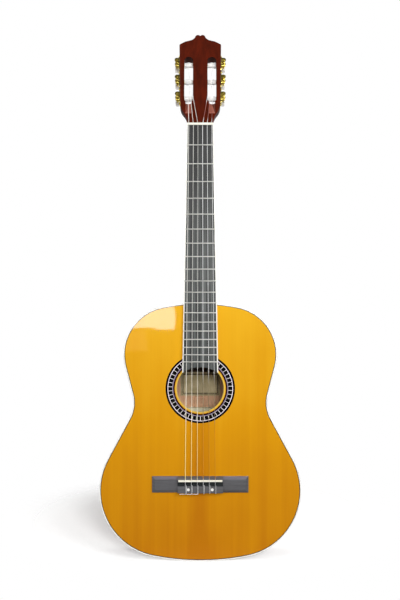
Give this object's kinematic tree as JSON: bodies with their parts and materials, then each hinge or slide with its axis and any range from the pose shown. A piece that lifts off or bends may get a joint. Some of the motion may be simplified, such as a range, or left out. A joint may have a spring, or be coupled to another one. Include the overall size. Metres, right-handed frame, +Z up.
{
  "type": "classical guitar",
  "caption": "Six-string classical guitar with a hollow waisted body, round soundhole, tie bridge, and a slotted head with working worm-gear tuning machines.",
  "frame": {"origin": "lowest point of the tail on the centre line, in the outer face of the top", "axes": "+Z up the neck towards the head, +X to the treble side, +Y from the top into the body"},
  "size_m": [0.37, 0.1067, 0.9778],
  "materials": {
    "spruce_top": "glossy amber varnish",
    "body_wood": "glossy dark red-brown varnish",
    "neck_wood": "glossy dark red-brown varnish",
    "inner_wood": "bare",
    "white_binding": "polished",
    "dark_purfling": "polished",
    "rosette_inlay": "inlaid mosaic under varnish",
    "label_paper": "plain, blank paper",
    "ebonised_wood": "satin black stained",
    "fret_metal": "polished nickel silver",
    "nut_white": "polished",
    "pearl_dot": "pearl",
    "bolt_steel": "plain",
    "wound_string": "silvered wire winding",
    "nylon_string": "clear nylon",
    "gilt_metal": "gold plated",
    "roller_plastic": "smooth",
    "button_pearl": "pearloid"
  },
  "bodies": {
    "root": {"back": "body_wood", "back_braces": "inner_wood", "binding_back": "white_binding", "binding_front": "white_binding", "bolt_caps": "pearl_dot", "bridge": "ebonised_wood", "bridge_bolts": "bolt_steel", "fingerboard": "ebonised_wood", "fingerboard_binding": "white_binding", "frets": "fret_metal", "headstock": "neck_wood", "heel_cap": "neck_wood", "label": "label_paper", "lining_back": "inner_wood", "lining_front": "inner_wood", "neck": "neck_wood", "neck_block": "inner_wood", "nut": "nut_white", "plate_screws": "gilt_metal", "purfling_front": "dark_purfling", "rib_bass": "body_wood", "rib_treble": "body_wood", "rosette": "rosette_inlay", "saddle": "nut_white", "soundboard": "spruce_top", "string_a": "wound_string", "string_b": "nylon_string", "string_d": "wound_string", "string_e_high": "nylon_string", "string_e_low": "wound_string", "string_g": "nylon_string", "tail_block": "inner_wood", "top_braces": "inner_wood", "tuner_plate_bass": "gilt_metal", "tuner_plate_treble": "gilt_metal"},
    "gear_1_bass": {"gear_1_bass": "gilt_metal", "roller_1_bass": "roller_plastic"},
    "worm_1_bass": {"worm_1_bass": "gilt_metal", "button_1_bass": "button_pearl"},
    "gear_1_treble": {"gear_1_treble": "gilt_metal", "roller_1_treble": "roller_plastic"},
    "worm_1_treble": {"worm_1_treble": "gilt_metal", "button_1_treble": "button_pearl"},
    "gear_2_bass": {"gear_2_bass": "gilt_metal", "roller_2_bass": "roller_plastic"},
    "worm_2_bass": {"worm_2_bass": "gilt_metal", "button_2_bass": "button_pearl"},
    "gear_2_treble": {"gear_2_treble": "gilt_metal", "roller_2_treble": "roller_plastic"},
    "worm_2_treble": {"worm_2_treble": "gilt_metal", "button_2_treble": "button_pearl"},
    "gear_3_bass": {"gear_3_bass": "gilt_metal", "roller_3_bass": "roller_plastic"},
    "worm_3_bass": {"worm_3_bass": "gilt_metal", "button_3_bass": "button_pearl"},
    "gear_3_treble": {"gear_3_treble": "gilt_metal", "roller_3_treble": "roller_plastic"},
    "worm_3_treble": {"worm_3_treble": "gilt_metal", "button_3_treble": "button_pearl"}
  },
  "joints": [
    {"name": "button_turn_1_bass", "type": "hinge", "parent": "root", "child": "worm_1_bass", "pos_m": [-0.04282, 0.02458, 0.85803], "axis": [0, 0.9659, -0.2588], "continuous": true},
    {"name": "roller_turn_1_bass", "type": "hinge", "parent": "root", "child": "gear_1_bass", "pos_m": [-0.04268, 0.02251, 0.8503], "axis": [-0.9999, -0.0043, -0.016], "continuous": true},
    {"name": "button_turn_1_treble", "type": "hinge", "parent": "root", "child": "worm_1_treble", "pos_m": [0.04282, 0.02458, 0.85803], "axis": [0, 0.9659, -0.2588], "continuous": true},
    {"name": "roller_turn_1_treble", "type": "hinge", "parent": "root", "child": "gear_1_treble", "pos_m": [0.04268, 0.02251, 0.8503], "axis": [0.9999, -0.0043, -0.016], "continuous": true},
    {"name": "button_turn_2_bass", "type": "hinge", "parent": "root", "child": "worm_2_bass", "pos_m": [-0.0434, 0.03364, 0.89183], "axis": [0, 0.9659, -0.2588], "continuous": true},
    {"name": "roller_turn_2_bass", "type": "hinge", "parent": "root", "child": "gear_2_bass", "pos_m": [-0.04326, 0.03157, 0.8841], "axis": [-0.9999, -0.0043, -0.016], "continuous": true},
    {"name": "button_turn_2_treble", "type": "hinge", "parent": "root", "child": "worm_2_treble", "pos_m": [0.0434, 0.03364, 0.89183], "axis": [0, 0.9659, -0.2588], "continuous": true},
    {"name": "roller_turn_2_treble", "type": "hinge", "parent": "root", "child": "gear_2_treble", "pos_m": [0.04326, 0.03157, 0.8841], "axis": [0.9999, -0.0043, -0.016], "continuous": true},
    {"name": "button_turn_3_bass", "type": "hinge", "parent": "root", "child": "worm_3_bass", "pos_m": [-0.04398, 0.04269, 0.92563], "axis": [0, 0.9659, -0.2588], "continuous": true},
    {"name": "roller_turn_3_bass", "type": "hinge", "parent": "root", "child": "gear_3_bass", "pos_m": [-0.04385, 0.04062, 0.91791], "axis": [-0.9999, -0.0043, -0.016], "continuous": true},
    {"name": "button_turn_3_treble", "type": "hinge", "parent": "root", "child": "worm_3_treble", "pos_m": [0.04398, 0.04269, 0.92563], "axis": [0, 0.9659, -0.2588], "continuous": true},
    {"name": "roller_turn_3_treble", "type": "hinge", "parent": "root", "child": "gear_3_treble", "pos_m": [0.04385, 0.04062, 0.91791], "axis": [0.9999, -0.0043, -0.016], "continuous": true}
  ],
  "couplings": [
    {"joint": "roller_turn_1_bass", "follows": "button_turn_1_bass", "ratio": -0.071429},
    {"joint": "roller_turn_1_treble", "follows": "button_turn_1_treble", "ratio": -0.071429},
    {"joint": "roller_turn_2_bass", "follows": "button_turn_2_bass", "ratio": -0.071429},
    {"joint": "roller_turn_2_treble", "follows": "button_turn_2_treble", "ratio": -0.071429},
    {"joint": "roller_turn_3_bass", "follows": "button_turn_3_bass", "ratio": -0.071429},
    {"joint": "roller_turn_3_treble", "follows": "button_turn_3_treble", "ratio": -0.071429}
  ]
}
